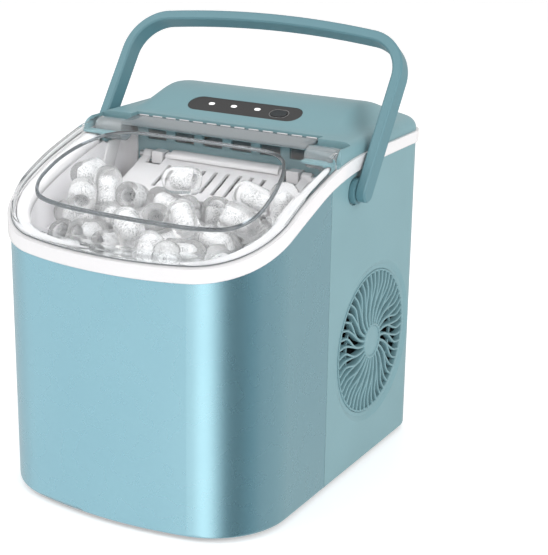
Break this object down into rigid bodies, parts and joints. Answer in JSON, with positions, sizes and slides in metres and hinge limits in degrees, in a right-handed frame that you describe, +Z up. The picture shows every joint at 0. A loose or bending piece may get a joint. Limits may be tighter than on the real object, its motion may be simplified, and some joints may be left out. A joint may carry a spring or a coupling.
{
  "type": "ice maker",
  "caption": "Counter-top ice maker with a sloped clear lid, bulged front, bail handle, control panel and round side fan grille.",
  "frame": {"origin": "centre of the footprint, on the surface the feet stand on", "axes": "+Z up, -Y to the front where the lid opens, +X to the right where the fan grille is"},
  "size_m": [0.247, 0.286, 0.3379],
  "materials": {
    "teal_metal": "satin metallic teal",
    "teal_plastic": "fine matte teal",
    "white_plastic": "glossy white",
    "tub_plastic": "satin white",
    "foam": "foam",
    "pan_metal": "satin dark grey",
    "rubber": "matte black",
    "steel": "brushed",
    "clear": "clear moulded plastic",
    "panel": "smoked satin",
    "lens": "white diffuser",
    "button": "satin dark",
    "board": "green solder mask",
    "black_plastic": "matte black",
    "compressor_paint": "gloss black",
    "aluminium": "mill finish",
    "copper": "copper tube",
    "chrome": "bright plated",
    "silicone": "translucent silicone",
    "ice": "clear ice with frosted core"
  },
  "bodies": {
    "housing": {"base_pan": "pan_metal", "rubber_feet": "rubber", "foot_screws": "steel", "front_shell": "teal_metal", "rear_shell": "teal_plastic", "trim_band": "white_plastic", "inner_frame": "white_plastic", "inner_tub": "tub_plastic", "tub_insulation": "foam", "hood": "teal_plastic", "control_panel": "panel", "indicator_lenses": "lens", "circuit_board": "board", "lid_hinge_pins": "steel", "fan_grille": "teal_plastic", "fan_shroud": "black_plastic", "fan_motor": "steel", "condenser": "aluminium", "compressor": "compressor_paint", "compressor_mounts": "rubber", "refrigerant_tubes": "copper", "evaporator": "chrome", "evaporator_bracket": "tub_plastic", "drive_motor": "steel", "paddle_bearings": "white_plastic", "cover_bar": "white_plastic", "ice_sensors": "black_plastic", "water_pump": "black_plastic", "pump_tube": "silicone", "basket_rests": "tub_plastic", "drain_tube": "silicone", "power_inlet": "black_plastic", "shell_screws": "steel"},
    "lid": {"lid": "clear"},
    "handle": {"handle": "teal_plastic", "handle_retainers": "steel"},
    "power_button": {"power_button": "button"},
    "fan": {"fan_blade": "black_plastic"},
    "water_tray": {"water_tray": "tub_plastic", "tray_shafts": "steel"},
    "ice_paddle": {"ice_paddle": "white_plastic", "paddle_shaft": "steel"},
    "ice_basket": {"ice_basket": "tub_plastic", "ice_bullets": "ice"},
    "drain_plug": {"drain_plug": "rubber"}
  },
  "joints": [
    {"name": "lid_hinge", "type": "hinge", "parent": "housing", "child": "lid", "pos_m": [0, 0.008, 0.2505], "axis": [-1, 0, 0], "range_deg": [0, 95]},
    {"name": "handle_hinge", "type": "hinge", "parent": "housing", "child": "handle", "pos_m": [0, 0.02, 0.227], "axis": [1, 0, 0], "range_deg": [-30, 35]},
    {"name": "power_button_press", "type": "slide", "parent": "housing", "child": "power_button", "axis": [0, 0.3714, -0.9285], "range_m": [0, 0.0006], "stiffness_N_per_m": 1500},
    {"name": "fan_spin", "type": "hinge", "parent": "housing", "child": "fan", "pos_m": [0.098, 0.061, 0.098], "axis": [1, 0, 0], "continuous": true},
    {"name": "tray_tip", "type": "hinge", "parent": "housing", "child": "water_tray", "pos_m": [0, 0.072, 0.208], "axis": [1, 0, 0], "range_deg": [0, 60]},
    {"name": "paddle_swing", "type": "hinge", "parent": "housing", "child": "ice_paddle", "pos_m": [0, 0.025, 0.2295], "axis": [1, 0, 0], "range_deg": [0, 66]},
    {"name": "basket_lift", "type": "slide", "parent": "housing", "child": "ice_basket", "axis": [0, 0, 1], "range_m": [0, 0.005]},
    {"name": "drain_plug_pull", "type": "slide", "parent": "housing", "child": "drain_plug", "axis": [0, 1, 0], "range_m": [0, 0.02]}
  ],
  "couplings": [
    {"joint": "paddle_swing", "follows": "tray_tip", "ratio": 1.1}
  ]
}
